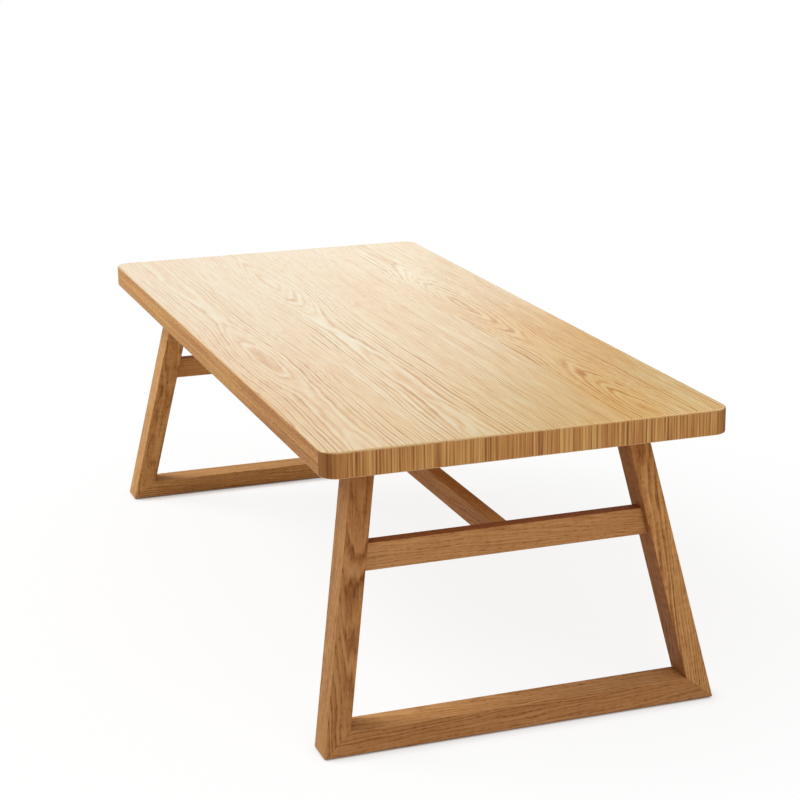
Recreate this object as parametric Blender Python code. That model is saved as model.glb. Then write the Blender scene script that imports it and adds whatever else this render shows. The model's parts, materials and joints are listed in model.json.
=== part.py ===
"""Dining table in solid oak: a thick edge-glued top on two leaning trapezoid frames and a long stretcher.

Metres, +Z up. X runs along the table and Y across it. The origin is on the floor, under the middle
of the top. End a is at +X and end b at -X; left is -Y and right is +Y. Pieces that touch keep
FIT_GAP between them, and every mortise, groove and hole is its piece's own size plus FIT_GAP.
"""

import math

import bmesh
import bpy
from mathutils import Matrix, Vector

# Overall sizes
TABLE_HEIGHT = 0.750
TOP_LENGTH = 2.200
TOP_WIDTH = 1.000
TOP_THICKNESS = 0.062

# Boards of the top, and the loose splines that line up their glued edges
EDGE_BOARD_WIDTH = 0.100
INNER_BOARDS = 5
CORNER_RADIUS = 0.042
TOP_ROUND = 0.005
UNDERSIDE_ROUND = 0.003
SPLINE_THICKNESS = 0.010
SPLINE_WIDTH = 0.030
SPLINE_SETBACK = 0.060

# End frames: the insets run from the top's outline, at the floor and at the head of the legs
FOOT_END_INSET = 0.044
HEAD_END_INSET = 0.191
FOOT_SIDE_INSET = 0.001
HEAD_SIDE_INSET = 0.130
FRAME_DEPTH = 0.080
LEG_WIDTH = 0.058
RAIL_HEIGHT = 0.054
ARRIS = 0.002

# Loose tenons across the frames' mitred corners
MITRE_TENON_REACH = 0.018
MITRE_TENON_WIDTH = 0.024
MITRE_TENON_THICKNESS = 0.026
MITRE_TENON_SHIFT = 0.004

# Crossbars, tenoned into the legs
BAR_BOTTOM = 0.408
BAR_HEIGHT = 0.063
BAR_THICKNESS = 0.034
BAR_SETBACK = 0.0205
BAR_TENON_LENGTH = 0.032
BAR_TENON_THICKNESS = 0.012
BAR_TENON_SHOULDER = 0.008

# Stretcher between the crossbars, tenoned into them and pinned from below
STRETCHER_WIDTH = 0.038
STRETCHER_HEIGHT = 0.0535
STRETCHER_TENON_LENGTH = 0.020
STRETCHER_TENON_THICKNESS = 0.014
STRETCHER_TENON_SHOULDER = 0.010
PIN_DIAMETER = 0.008
PIN_LENGTH = 0.050
PIN_RECESS = 0.0015

# Bolts that hold the top on the frames, with washers below and threaded inserts above
BOLT_DIAMETER = 0.008
BOLT_HEAD_DIAMETER = 0.013
BOLT_HEAD_HEIGHT = 0.008
BOLT_ENGAGEMENT = 0.020
SOCKET_WIDTH = 0.006
SOCKET_DEPTH = 0.004
WASHER_DIAMETER = 0.016
WASHER_THICKNESS = 0.0016
COUNTERBORE_DEPTH = 0.016
COUNTERBORE_ROOM = 0.003
BOLT_SLOT_TRAVEL = 0.006
INSERT_WALL = 0.002
INSERT_LENGTH = 0.024
INSERT_HOLE_ROOM = 0.003

# Nylon glides under the floor rails
GLIDE_DIAMETER = 0.050
GLIDE_THICKNESS = 0.003
GLIDE_INSET = 0.070

# Fits and facets
FIT_GAP = 0.0003
OVERCUT = 0.010
ARRIS_STEPS = 2
CORNER_STEPS = 10
ROUND_SIDES = 24

# Places that several pieces share
UNDERSIDE = TABLE_HEIGHT - TOP_THICKNESS
FRAME_TOP = UNDERSIDE - FIT_GAP
FRAME_BOTTOM = GLIDE_THICKNESS + FIT_GAP
BAR_TOP = BAR_BOTTOM + BAR_HEIGHT
BAR_BACK = BAR_SETBACK + BAR_THICKNESS
BAR_MIDDLE = BAR_SETBACK + BAR_THICKNESS / 2
STRETCHER_BOTTOM = BAR_BOTTOM + (BAR_HEIGHT - STRETCHER_HEIGHT) / 2
STRETCHER_TOP = STRETCHER_BOTTOM + STRETCHER_HEIGHT
INSERT_RADIUS = BOLT_DIAMETER / 2 + FIT_GAP + INSERT_WALL
ENDS = {"a": 1, "b": -1}
SIDES = {"left": -1, "right": 1}


def clear_scene():
    """Removes whatever the scene holds."""
    for old in list(bpy.data.objects):
        bpy.data.objects.remove(old)


def linear(code):
    """Linear RGBA of an sRGB colour written as six hex digits."""
    shares = [int(code[i : i + 2], 16) / 255 for i in (0, 2, 4)]
    return [s / 12.92 if s <= 0.04045 else ((s + 0.055) / 1.055) ** 2.4 for s in shares] + [1.0]


def finish(name, code, roughness, metallic=0.0):
    """A plain material of one colour."""
    made = bpy.data.materials.new(name)
    made.use_nodes = True
    made.diffuse_color = linear(code)
    shader = made.node_tree.nodes["Principled BSDF"]
    shader.inputs["Base Color"].default_value = linear(code)
    shader.inputs["Roughness"].default_value = roughness
    shader.inputs["Metallic"].default_value = metallic
    return made


def add_piece(name, bm, material, place=(0, 0, 0)):
    """Turns a bmesh into an object of the table."""
    mesh = bpy.data.meshes.new(name)
    bm.to_mesh(mesh)
    bm.free()
    mesh.materials.append(material)
    piece = bpy.data.objects.new(name, mesh)
    piece.location = place
    piece.parent = table
    bpy.context.scene.collection.objects.link(piece)
    return piece


def add_tool(name, bm, place=(0, 0, 0)):
    """A hidden solid that only shapes other pieces."""
    tool = add_piece(name, bm, oak_frame, place)
    tool.hide_render = True
    tool.display_type = "WIRE"
    return tool


def shape(piece, tool, operation="DIFFERENCE"):
    """Cuts, joins or crops a piece with a hidden solid."""
    step = piece.modifiers.new(tool.name, "BOOLEAN")
    step.operation = operation
    step.solver = "EXACT"
    step.object = tool


def prism(points, sweep, eased=()):
    """A flat ring of points swept by a vector, with the arrises of the named ring edges rounded."""
    bm = bmesh.new()
    start = [bm.verts.new(point) for point in points]
    end = [bm.verts.new(point + sweep) for point in points]
    following = list(range(1, len(points))) + [0]
    bm.faces.new(start)
    bm.faces.new(reversed(end))
    for i, j in enumerate(following):
        bm.faces.new((start[i], start[j], end[j], end[i]))
    bmesh.ops.recalc_face_normals(bm, faces=bm.faces)
    arrises = [bm.edges.get((ring[i], ring[following[i]])) for ring in (start, end) for i in eased]
    if arrises:
        bmesh.ops.bevel(
            bm, geom=arrises, offset=ARRIS, segments=ARRIS_STEPS, profile=0.5, affect="EDGES"
        )
    return bm


def block(low, high):
    """A box between two corners."""
    ring = [(low[0], low[1]), (high[0], low[1]), (high[0], high[1]), (low[0], high[1])]
    return prism([Vector((x, y, low[2])) for x, y in ring], Vector((0, 0, high[2] - low[2])))


def turned(profile, closed=False):
    """A profile of radius and height turned about Z; a closed one is a ring round an open bore."""
    bm = bmesh.new()
    points = [bm.verts.new((radius, 0, height)) for radius, height in profile]
    for first, second in zip(points, points[1:] + points[:1] if closed else points[1:]):
        bm.edges.new((first, second))
    bmesh.ops.spin(
        bm,
        geom=bm.verts[:] + bm.edges[:],
        cent=(0, 0, 0),
        axis=(0, 0, 1),
        angle=math.tau,
        steps=ROUND_SIDES,
    )
    bmesh.ops.remove_doubles(bm, verts=bm.verts, dist=1e-6)
    bmesh.ops.recalc_face_normals(bm, faces=bm.faces)
    for face in bm.faces:
        face.smooth = True
    return bm


def rod(start, end, radius, sides=ROUND_SIDES):
    """A round or many-sided bar between two points."""
    bm = bmesh.new()
    run = end - start
    place = Matrix.Translation((start + end) / 2) @ run.to_track_quat("Z", "Y").to_matrix().to_4x4()
    bmesh.ops.create_cone(
        bm, cap_ends=True, segments=sides, radius1=radius, radius2=radius, depth=run.length, matrix=place
    )
    return bm


def meet(first, second):
    """Where two lines of a plane cross, each given as a point and a direction."""
    (start, along), (other, across) = first, second
    return start + along * ((other - start).cross(across) / along.cross(across))


def level(height):
    """A horizontal line of an upright plane."""
    return Vector((0, height)), Vector((1, 0))


def end_line(depth):
    """The frame's leaning end face seen from the side, as X and Z, moved in by a depth."""
    foot = Vector((TOP_LENGTH / 2 - FOOT_END_INSET - depth, 0))
    head = Vector((TOP_LENGTH / 2 - HEAD_END_INSET - depth, UNDERSIDE))
    return foot, head - foot


def leg_line(inset):
    """The right leg's outer edge seen from the end, as Y and Z, moved in by an inset."""
    foot = Vector((TOP_WIDTH / 2 - FOOT_SIDE_INSET - inset, 0))
    head = Vector((TOP_WIDTH / 2 - HEAD_SIDE_INSET - inset, UNDERSIDE))
    return foot, head - foot


def on_frame(end, point, depth):
    """The place of a Y and Z point that lies at a depth behind a frame's leaning end face."""
    return Vector((end * meet(end_line(depth), level(point.y)).x, point.x, point.y))


def mirrored(half):
    """A ring from its right half, listed upwards, and the same points on the left."""
    return half + [Vector((-point.x, point.y)) for point in reversed(half)]


def frame_prism(end, outline, front, back, eased=()):
    """A member of a frame: a Y and Z outline between two depths behind the end face."""
    ring = [on_frame(end, point, front) for point in outline]
    return prism(ring, Vector((-end * (back - front), 0, 0)), eased)


def corner(outer_height, inner_height):
    """A mitre of the right leg: its outer point, its run inwards and the direction from rail to leg."""
    outer = meet(leg_line(0), level(outer_height))
    run = meet(leg_line(LEG_WIDTH), level(inner_height)) - outer
    to_leg = run.orthogonal().normalized()
    if to_leg.y * run.y < 0:
        to_leg.negate()
    return outer, run, to_leg


FOOT_CORNER = corner(FRAME_BOTTOM, FRAME_BOTTOM + RAIL_HEIGHT)
HEAD_CORNER = corner(FRAME_TOP, FRAME_TOP - RAIL_HEIGHT)


def mitre_line(mitre, shift):
    """A mitre's line, moved from the rail towards the leg."""
    outer, run, to_leg = mitre
    return outer + to_leg * shift, run


def flipped(points, side):
    """Points of the right side, or their mirror images on the left."""
    return [Vector((side * point.x, point.y)) for point in points]


def mitre_tenon_outline(mitre, room=0.0):
    """The loose tenon's outline across a mitre, grown by some room."""
    outer, run, to_leg = mitre
    along = run.normalized()
    centre = outer + run / 2 + along * MITRE_TENON_SHIFT
    half_run = along * (MITRE_TENON_WIDTH / 2 + room)
    reach = to_leg * (MITRE_TENON_REACH + room)
    return [
        centre - half_run - reach,
        centre + half_run - reach,
        centre + half_run + reach,
        centre - half_run + reach,
    ]


def add_leg(end_name, side_name):
    """A leg, mitred at its foot and head."""
    foot = mitre_line(FOOT_CORNER, FIT_GAP / 2)
    head = mitre_line(HEAD_CORNER, FIT_GAP / 2)
    outer, inner = leg_line(0), leg_line(LEG_WIDTH)
    outline = [meet(outer, foot), meet(outer, head), meet(inner, head), meet(inner, foot)]
    bm = frame_prism(ENDS[end_name], flipped(outline, SIDES[side_name]), 0, FRAME_DEPTH, eased=(0, 2))
    return add_piece(f"leg_{end_name}_{side_name}", bm, oak_frame)


def add_rail(name, end, mitre, outer_height, inner_height):
    """A floor rail or a head rail, mitred at both ends."""
    cut = mitre_line(mitre, -FIT_GAP / 2)
    heights = sorted((outer_height, inner_height))
    outline = mirrored([meet(level(height), cut) for height in heights])
    return add_piece(name, frame_prism(end, outline, 0, FRAME_DEPTH, eased=(1, 3)), oak_frame)


def add_mitre_tenons(end_name, place, mitre, rail, legs):
    """The loose tenons of a rail's two mitres, with their mortises."""
    front = (FRAME_DEPTH - MITRE_TENON_THICKNESS) / 2
    back = front + MITRE_TENON_THICKNESS
    for side_name, leg in legs.items():
        name = f"mitre_tenon_{end_name}_{place}_{side_name}"
        end, side = ENDS[end_name], SIDES[side_name]
        add_piece(name, frame_prism(end, flipped(mitre_tenon_outline(mitre), side), front, back), beech)
        wide = flipped(mitre_tenon_outline(mitre, FIT_GAP), side)
        mortise = add_tool(f"{name}_mortise", frame_prism(end, wide, front - FIT_GAP, back + FIT_GAP))
        shape(leg, mortise)
        shape(rail, mortise)


def bar_outline(inset, low, high):
    """The crossbar's outline, or its tenons', up to the legs' inner edges moved in by an inset."""
    ends = leg_line(LEG_WIDTH + inset)
    return mirrored([meet(ends, level(low)), meet(ends, level(high))])


def add_crossbar(end_name, legs):
    """A crossbar with a tenon at each end, and the legs' mortises for them."""
    end = ENDS[end_name]
    low, high = BAR_BOTTOM + BAR_TENON_SHOULDER, BAR_TOP - BAR_TENON_SHOULDER
    front, back = BAR_MIDDLE - BAR_TENON_THICKNESS / 2, BAR_MIDDLE + BAR_TENON_THICKNESS / 2
    body = frame_prism(end, bar_outline(FIT_GAP, BAR_BOTTOM, BAR_TOP), BAR_SETBACK, BAR_BACK, eased=(1, 3))
    bar = add_piece(f"crossbar_{end_name}", body, oak_frame)
    tenons = frame_prism(end, bar_outline(-BAR_TENON_LENGTH, low, high), front, back)
    shape(bar, add_tool(f"crossbar_{end_name}_tenons", tenons), "UNION")
    room = bar_outline(-BAR_TENON_LENGTH - FIT_GAP, low - FIT_GAP, high + FIT_GAP)
    mortises = frame_prism(end, room, front - FIT_GAP, back + FIT_GAP)
    tool = add_tool(f"crossbar_{end_name}_mortises", mortises)
    for leg in legs.values():
        shape(leg, tool)
    return bar


def stretcher_prism(depth, low, high, width, eased=()):
    """A length of the stretcher's line that ends at a depth behind both frames' end faces."""
    ends = end_line(depth)
    outline = mirrored([meet(ends, level(low)), meet(ends, level(high))])
    ring = [Vector((point.x, -width / 2, point.y)) for point in outline]
    return prism(ring, Vector((0, width, 0)), eased)


def add_stretcher(bars):
    """The long stretcher with its end tenons, their mortises, and the pins that lock them."""
    tenon_depth = BAR_BACK - STRETCHER_TENON_LENGTH
    low, high = STRETCHER_BOTTOM + STRETCHER_TENON_SHOULDER, STRETCHER_TOP - STRETCHER_TENON_SHOULDER
    body = stretcher_prism(
        BAR_BACK + FIT_GAP, STRETCHER_BOTTOM, STRETCHER_TOP, STRETCHER_WIDTH, eased=(1, 3)
    )
    stretcher = add_piece("stretcher", body, oak_frame)
    tenons = stretcher_prism(tenon_depth, low, high, STRETCHER_TENON_THICKNESS)
    shape(stretcher, add_tool("stretcher_tenons", tenons), "UNION")
    room = stretcher_prism(
        tenon_depth - FIT_GAP, low - FIT_GAP, high + FIT_GAP, STRETCHER_TENON_THICKNESS + 2 * FIT_GAP
    )
    mortises = add_tool("stretcher_mortises", room)
    for end_name, bar in bars.items():
        shape(bar, mortises)
        add_stretcher_pin(end_name, bar, stretcher)


def add_stretcher_pin(end_name, bar, stretcher):
    """A pin driven up through the crossbar and the stretcher's tenon, along the frame's lean."""
    end = ENDS[end_name]
    depth = BAR_BACK - STRETCHER_TENON_LENGTH / 2
    below = on_frame(end, Vector((0, BAR_BOTTOM - OVERCUT)), depth)
    entry = on_frame(end, Vector((0, BAR_BOTTOM + PIN_RECESS)), depth)
    drive = (entry - below).normalized()
    tip = entry + drive * PIN_LENGTH
    add_piece(f"stretcher_pin_{end_name}", rod(entry, tip, PIN_DIAMETER / 2), beech)
    hole = rod(below, tip + drive * FIT_GAP, PIN_DIAMETER / 2 + FIT_GAP)
    tool = add_tool(f"stretcher_pin_{end_name}_hole", hole)
    shape(bar, tool)
    shape(stretcher, tool)


def add_slab_tool():
    """The whole top's outline, with its corners and arrises rounded."""
    bm = block(
        (-TOP_LENGTH / 2, -TOP_WIDTH / 2, UNDERSIDE), (TOP_LENGTH / 2, TOP_WIDTH / 2, TABLE_HEIGHT)
    )
    upright = [edge for edge in bm.edges if edge.verts[0].co.xy == edge.verts[1].co.xy]
    bmesh.ops.bevel(
        bm, geom=upright, offset=CORNER_RADIUS, segments=CORNER_STEPS, profile=0.5, affect="EDGES"
    )
    for height, radius in ((TABLE_HEIGHT, TOP_ROUND), (UNDERSIDE, UNDERSIDE_ROUND)):
        rim = [edge for edge in bm.edges if all(abs(v.co.z - height) < 1e-6 for v in edge.verts)]
        bmesh.ops.bevel(
            bm, geom=rim, offset=radius, segments=ARRIS_STEPS, profile=0.5, affect="EDGES"
        )
    return add_tool("top_outline", bm)


def board_edges():
    """The seams and outer edges of the top's boards, from left to right."""
    seam = TOP_WIDTH / 2 - EDGE_BOARD_WIDTH
    width = 2 * seam / INNER_BOARDS
    return [-TOP_WIDTH / 2] + [i * width - seam for i in range(INNER_BOARDS + 1)] + [TOP_WIDTH / 2]


def add_top():
    """The boards of the top, each cropped to the top's outline, and the splines in their edges."""
    outline = add_slab_tool()
    edges = board_edges()
    boards = []
    for i, (left, right) in enumerate(zip(edges, edges[1:])):
        left += FIT_GAP / 2 if i else -OVERCUT
        right -= FIT_GAP / 2 if i + 2 < len(edges) else -OVERCUT
        plank = block(
            (-TOP_LENGTH / 2 - OVERCUT, left, UNDERSIDE - OVERCUT),
            (TOP_LENGTH / 2 + OVERCUT, right, TABLE_HEIGHT + OVERCUT),
        )
        board = add_piece(f"top_board_{i + 1}", plank, oak_top)
        shape(board, outline, "INTERSECT")
        boards.append(board)
    for i, seam in enumerate(edges[1:-1]):
        name = f"top_spline_{i + 1}"
        add_piece(name, spline_block(seam), beech)
        groove = add_tool(f"{name}_groove", spline_block(seam, FIT_GAP))
        shape(boards[i], groove)
        shape(boards[i + 1], groove)
    return boards


def spline_block(seam, room=0.0):
    """A loose spline across a seam at half the top's thickness, grown by some room."""
    half = Vector((TOP_LENGTH / 2 - SPLINE_SETBACK, SPLINE_WIDTH / 2, SPLINE_THICKNESS / 2))
    half += Vector((room, room, room))
    centre = Vector((0, seam, UNDERSIDE + TOP_THICKNESS / 2))
    return block(centre - half, centre + half)


def add_bolts(end_name, rail, boards):
    """The bolts up through a head rail into the middle boards, with their washers and inserts."""
    middle = len(boards) // 2
    edges = board_edges()
    for number, i in enumerate((middle - 1, middle, middle + 1), 1):
        across = (edges[i] + edges[i + 1]) / 2
        spot = on_frame(ENDS[end_name], Vector((across, FRAME_TOP - RAIL_HEIGHT / 2)), FRAME_DEPTH / 2)
        travel = 0 if i == middle else BOLT_SLOT_TRAVEL
        name = f"{end_name}_{number}"
        seat = FRAME_TOP - RAIL_HEIGHT + COUNTERBORE_DEPTH
        drill_rail(name, rail, spot, seat, travel)
        add_washer(name, spot, seat)
        add_bolt(name, spot, seat - 2 * FIT_GAP - WASHER_THICKNESS)
        add_insert(name, spot, boards[i])


def drill_rail(name, rail, spot, seat, travel):
    """A bolt's clearance hole and the counterbore for its head, both slotted across where the top moves."""
    shaft = BOLT_DIAMETER / 2 + FIT_GAP
    wide = WASHER_DIAMETER / 2 + COUNTERBORE_ROOM
    floor = FRAME_TOP - RAIL_HEIGHT - OVERCUT
    for kind, radius, low, high in (
        ("hole", shaft, seat - OVERCUT / 2, FRAME_TOP + OVERCUT),
        ("counterbore", wide, floor, seat),
    ):
        bm = rod(Vector((0, 0, low)), Vector((0, 0, high)), radius)
        for vert in bm.verts:
            vert.co.y += math.copysign(travel / 2, vert.co.y)
        shape(rail, add_tool(f"bolt_{name}_{kind}", bm, (spot.x, spot.y, 0)))


def add_washer(name, spot, seat):
    """A flat washer under the counterbore's roof."""
    bore, rim = BOLT_DIAMETER / 2 + FIT_GAP, WASHER_DIAMETER / 2
    profile = [(bore, 0), (rim, 0), (rim, WASHER_THICKNESS), (bore, WASHER_THICKNESS)]
    place = (spot.x, spot.y, seat - FIT_GAP - WASHER_THICKNESS)
    add_piece(f"washer_{name}", turned(profile, closed=True), zinc_steel, place)


def add_bolt(name, spot, under_washer):
    """A socket-head bolt, with its head below the washer and its end in the insert."""
    shaft, head = BOLT_DIAMETER / 2, BOLT_HEAD_DIAMETER / 2
    tip = UNDERSIDE + BOLT_ENGAGEMENT - under_washer
    base = -BOLT_HEAD_HEIGHT
    profile = [(0, base), (head, base), (head, 0), (shaft, 0), (shaft, tip), (0, tip)]
    place = (spot.x, spot.y, under_washer)
    bolt = add_piece(f"top_bolt_{name}", turned(profile), zinc_steel, place)
    mouth = Vector((0, 0, base - OVERCUT))
    bottom = Vector((0, 0, base + SOCKET_DEPTH))
    socket = rod(mouth, bottom, SOCKET_WIDTH / math.sqrt(3), sides=6)
    shape(bolt, add_tool(f"top_bolt_{name}_socket", socket, place))


def add_insert(name, spot, board):
    """A threaded insert in a board's underside, and its hole."""
    bore = INSERT_RADIUS - INSERT_WALL
    profile = [(bore, 0), (INSERT_RADIUS, 0), (INSERT_RADIUS, INSERT_LENGTH), (bore, INSERT_LENGTH)]
    place = (spot.x, spot.y, UNDERSIDE + FIT_GAP)
    add_piece(f"threaded_insert_{name}", turned(profile, closed=True), brass, place)
    low = Vector((0, 0, -OVERCUT))
    high = Vector((0, 0, INSERT_LENGTH + INSERT_HOLE_ROOM))
    shape(board, add_tool(f"threaded_insert_{name}_hole", rod(low, high, INSERT_RADIUS + FIT_GAP), place))


def add_glides(end_name):
    """The glides under a floor rail, near its two ends."""
    for side_name, side in SIDES.items():
        across = TOP_WIDTH / 2 - FOOT_SIDE_INSET - GLIDE_INSET
        spot = on_frame(ENDS[end_name], Vector((side * across, FRAME_BOTTOM)), FRAME_DEPTH / 2)
        bm = rod(Vector((0, 0, 0)), Vector((0, 0, GLIDE_THICKNESS)), GLIDE_DIAMETER / 2)
        add_piece(f"foot_glide_{end_name}_{side_name}", bm, nylon, (spot.x, spot.y, 0))


def add_frame(end_name, boards):
    """One end frame: legs, rails, crossbar, corner tenons, glides and the bolts to the top."""
    end = ENDS[end_name]
    legs = {side_name: add_leg(end_name, side_name) for side_name in SIDES}
    floor_rail = add_rail(
        f"floor_rail_{end_name}", end, FOOT_CORNER, FRAME_BOTTOM, FRAME_BOTTOM + RAIL_HEIGHT
    )
    head_rail = add_rail(f"head_rail_{end_name}", end, HEAD_CORNER, FRAME_TOP, FRAME_TOP - RAIL_HEIGHT)
    add_mitre_tenons(end_name, "foot", FOOT_CORNER, floor_rail, legs)
    add_mitre_tenons(end_name, "head", HEAD_CORNER, head_rail, legs)
    add_glides(end_name)
    add_bolts(end_name, head_rail, boards)
    return add_crossbar(end_name, legs)


clear_scene()
oak_top = finish("lacquered_oak_top", "E3C091", 0.38)
oak_frame = finish("lacquered_oak_frame", "B98A58", 0.45)
beech = finish("beech", "D8B48A", 0.6)
zinc_steel = finish("zinc_plated_steel", "B4B7BA", 0.35, 1.0)
brass = finish("brass", "C9A557", 0.35, 1.0)
nylon = finish("nylon", "4A4038", 0.5)

table = bpy.data.objects.new("dining_table", None)
bpy.context.scene.collection.objects.link(table)
top_boards = add_top()
crossbars = {name: add_frame(name, top_boards) for name in ENDS}
add_stretcher(crossbars)
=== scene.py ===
# %% [markdown]
# # An oak dining table: the looks
#
# The table is a thick edge-glued oak top on two leaning trapezoid frames, tied by a long stretcher.
# Its construction is finished and packed as solids. This lesson dresses those solids: it draws the
# boards and bars again with soft arrises, gives every piece a worked finish, and sets camera and light.

# %% Load the solids that everything is fitted to
import json
import math

import bpy
import numpy as np
from mathutils import Matrix, Vector


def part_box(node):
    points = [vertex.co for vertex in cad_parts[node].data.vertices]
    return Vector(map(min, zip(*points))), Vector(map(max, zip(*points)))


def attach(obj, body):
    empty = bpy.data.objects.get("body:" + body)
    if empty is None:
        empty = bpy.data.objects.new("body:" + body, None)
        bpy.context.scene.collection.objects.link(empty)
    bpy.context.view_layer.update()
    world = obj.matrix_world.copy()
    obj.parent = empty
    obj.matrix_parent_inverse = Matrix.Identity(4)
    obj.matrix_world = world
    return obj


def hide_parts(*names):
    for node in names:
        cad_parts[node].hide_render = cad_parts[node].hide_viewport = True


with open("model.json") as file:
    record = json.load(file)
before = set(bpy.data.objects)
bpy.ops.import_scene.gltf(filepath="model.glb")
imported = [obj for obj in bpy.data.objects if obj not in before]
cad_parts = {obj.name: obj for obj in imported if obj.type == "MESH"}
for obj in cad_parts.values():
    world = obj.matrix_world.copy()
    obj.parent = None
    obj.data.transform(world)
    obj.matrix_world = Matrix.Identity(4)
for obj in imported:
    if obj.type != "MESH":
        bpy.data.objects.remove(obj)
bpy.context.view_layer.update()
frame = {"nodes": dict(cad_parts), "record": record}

MM = 0.001

# %% [markdown]
# ## Camera
#
# The photograph looks at the near end of the table from its left, from about standing eye height. Place,
# turn and lens were fitted to the straight edges of the table. The camera's axes are worked out from
# its azimuth, elevation and a slight roll, and written straight into its matrix, so nothing is aimed by eye.

# %% Camera
CAMERA_PLACE = Vector((5.065, -1.719, 2.029))
CAMERA_AZIMUTH = math.radians(70.59)
CAMERA_ELEVATION = math.radians(15.61)
CAMERA_ROLL = math.radians(0.60)
CAMERA_LENS = 89.86

forward = Vector((
    -math.sin(CAMERA_AZIMUTH) * math.cos(CAMERA_ELEVATION),
    math.cos(CAMERA_AZIMUTH) * math.cos(CAMERA_ELEVATION),
    -math.sin(CAMERA_ELEVATION),
))
level_right = forward.cross(Vector((0, 0, 1))).normalized()
level_down = forward.cross(level_right)
right = level_right * math.cos(CAMERA_ROLL) + level_down * math.sin(CAMERA_ROLL)
up = level_right * math.sin(CAMERA_ROLL) - level_down * math.cos(CAMERA_ROLL)

eye = bpy.data.objects.new("camera", bpy.data.cameras.new("camera"))
eye.data.sensor_width = 36.0
eye.data.lens = CAMERA_LENS
axes = Matrix((right, up, -forward)).transposed().to_4x4()
eye.matrix_world = Matrix.Translation(CAMERA_PLACE) @ axes
bpy.context.scene.collection.objects.link(eye)
bpy.context.scene.camera = eye
print("camera looks along", [round(value, 3) for value in forward])

# %% [markdown]
# ## Helpers for colours and nodes
#
# Colours are written as the sRGB hex values that a colour picker shows, and turned to the linear values
# that the renderer needs by one function. A second function adds a node, sets its options and joins its
# inputs, so that a finish reads as a list of what feeds what.

# %% Colour and node helpers
def colour(code):
    """Linear RGBA of an sRGB hex colour: the low part is divided, the rest raised to the power 2.4."""
    shares = np.array([int(code[i:i + 2], 16) / 255 for i in (0, 2, 4)])
    curved = np.where(shares <= 0.04045, shares / 12.92, ((shares + 0.055) / 1.055) ** 2.4)
    return [*curved.tolist(), 1.0]


def add(tree, kind, inputs=(), stops=(), **options):
    """Adds a node. Inputs are values, or nodes and sockets to link; stops are a ramp's places and colours."""
    node = tree.nodes.new(kind)
    for key, value in options.items():
        setattr(node, key, value)
    for key, value in dict(inputs).items():
        if isinstance(value, bpy.types.Node):
            value = value.outputs[0]
        if isinstance(value, bpy.types.NodeSocket):
            tree.links.new(value, node.inputs[key])
        else:
            node.inputs[key].default_value = value
    for i, (place, code) in enumerate(stops):
        if i < 2:
            stop = node.color_ramp.elements[i]
            stop.position = place
        else:
            stop = node.color_ramp.elements.new(place)
        stop.color = colour(code)
    return node


def blank(name):
    """A new node material, emptied, and its tree."""
    made = bpy.data.materials.new(name)
    made.use_nodes = True
    made.node_tree.nodes.clear()
    return made, made.node_tree


# %% [markdown]
# ## Light and floor
#
# A catalogue picture of pale wood is lit by one broad soft source high on the table's left, with a weaker
# fill from the front, in a white room. A window beyond the far end gives little light, but the lacquer
# mirrors it, and it lays a cool sheen over the far half of the top. Three large area lamps do the same.
# Light Path splits the white that the camera sees from the light that falls on the table. In reflections
# the room fades from white around the window to dim overhead and on the right, so the near end of the
# top keeps its own colour.

# %% World and lamps
AMBIENT = 0.43
DIM_SIDE = (0.404, 0.571, 0.715)
DIM_FROM = 0.012
DIM_TO = 0.068
DIM = 0.06
LAMPS = {
    "key_light": {"place": (-3.0, -4.5, 5.8), "power": 362.0, "size": (4.0, 4.0), "hue": "FFFFFF"},
    "fill_light": {"place": (5.2, 0.5, 3.6), "power": 100.0, "size": (4.0, 4.0), "hue": "FFFAF4"},
    "window_light": {"place": (-7.0, 1.6, 1.9), "power": 2.5, "size": (2.3, 1.7), "hue": "E4F1FF"},
}
LAMP_AIM = Vector((0.0, 0.0, 0.6))

scene = bpy.context.scene
scene.view_settings.view_transform = "Standard"
world = bpy.data.worlds.new("white_studio")
scene.world = world
world.use_nodes = True
sky = world.node_tree
sky.nodes.clear()
direction = add(sky, "ShaderNodeTexCoord").outputs["Generated"]
turned_away = add(sky, "ShaderNodeVectorMath", {0: direction, 1: DIM_SIDE}, operation="DOT_PRODUCT")
room = add(sky, "ShaderNodeMapRange", {
    "Value": turned_away.outputs["Value"], "From Min": DIM_FROM, "From Max": DIM_TO,
    "To Min": 1.0, "To Max": DIM}, interpolation_type="SMOOTHSTEP")
ray = add(sky, "ShaderNodeLightPath").outputs
whiteness = add(sky, "ShaderNodeMath", {0: room, 1: ray["Is Camera Ray"]}, operation="MAXIMUM")
mirror = add(sky, "ShaderNodeMath", {
    0: ray["Is Glossy Ray"], 1: ray["Is Transmission Ray"]}, operation="MAXIMUM")
seen = add(sky, "ShaderNodeMath", {0: mirror, 1: ray["Is Camera Ray"]}, operation="MAXIMUM")
lit = add(sky, "ShaderNodeBackground", {"Color": colour("FFFDF8"), "Strength": AMBIENT})
white = add(sky, "ShaderNodeBackground", {"Color": colour("FFFFFF"), "Strength": whiteness})
blend = add(sky, "ShaderNodeMixShader", {0: seen, 1: lit, 2: white})
add(sky, "ShaderNodeOutputWorld", {"Surface": blend})

for name, look in LAMPS.items():
    lamp = bpy.data.objects.new(name, bpy.data.lights.new(name, "AREA"))
    lamp.data.energy = look["power"]
    lamp.data.color = colour(look["hue"])[:3]
    lamp.data.shape = "ELLIPSE"
    lamp.data.size, lamp.data.size_y = look["size"]
    lamp.visible_camera = False
    lamp.location = look["place"]
    lamp.rotation_mode = "QUATERNION"
    lamp.rotation_quaternion = (lamp.location - LAMP_AIM).to_track_quat("Z", "Y")
    scene.collection.objects.link(lamp)
    print(name, look["power"], "W at", look["place"])

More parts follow.
